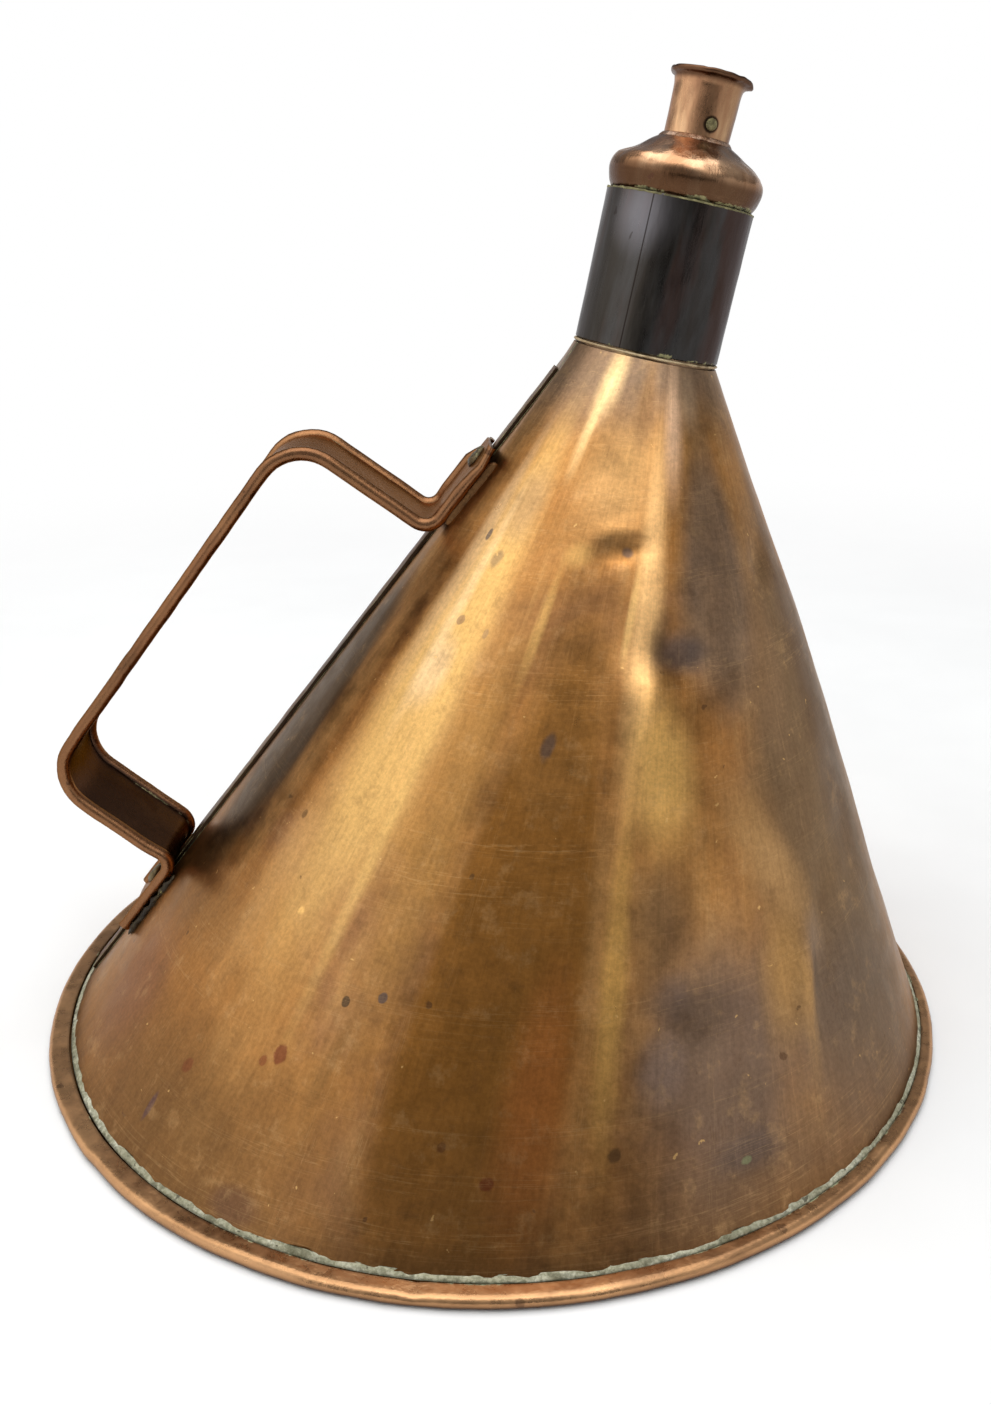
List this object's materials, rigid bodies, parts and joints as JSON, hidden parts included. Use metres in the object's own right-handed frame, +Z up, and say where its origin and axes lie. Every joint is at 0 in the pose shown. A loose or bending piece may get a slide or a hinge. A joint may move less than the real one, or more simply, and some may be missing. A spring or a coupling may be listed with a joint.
{
  "type": "pot still",
  "caption": "Conical copper pot still with a folded flat base, a raked neck tube, a lift-off shouldered head with a flared spout, and a riveted strap handle.",
  "frame": {"origin": "centre of the underside of the base plate, on the table", "axes": "+Z up, +X towards the side the neck leans to, away from the handle, -Y towards the viewer of the picture"},
  "size_m": [0.2168, 0.2168, 0.2099],
  "materials": {
    "cone_copper": "aged copper sheet, worn satin",
    "rim_copper": "aged copper sheet, worn bright on the edge",
    "head_copper": "warm copper, worn bright",
    "handle_copper": "dark copper with bright rolled edges",
    "dark_tube": "copper tube with a near-black patina",
    "grey_solder": "hard solder with verdigris",
    "iron_wire": "plain iron wire"
  },
  "bodies": {
    "pot": {"base_plate": "rim_copper", "cone_body": "cone_copper", "base_solder": "grey_solder", "neck_tube": "dark_tube", "neck_solder": "grey_solder", "handle_strap": "handle_copper", "handle_wire_front": "iron_wire", "handle_wire_back": "iron_wire", "lower_rivet": "handle_copper", "upper_rivet": "handle_copper", "lower_solder_front": "grey_solder", "lower_solder_back": "grey_solder", "upper_solder_front": "grey_solder", "upper_solder_back": "grey_solder"},
    "head": {"head_shoulder": "head_copper", "spout_tube": "head_copper", "spout_solder": "grey_solder", "spout_pin": "grey_solder"}
  },
  "joints": [
    {"name": "head_lift", "type": "slide", "parent": "pot", "child": "head", "axis": [0.2045, 0, 0.9789], "range_m": [0, 0.03]}
  ]
}
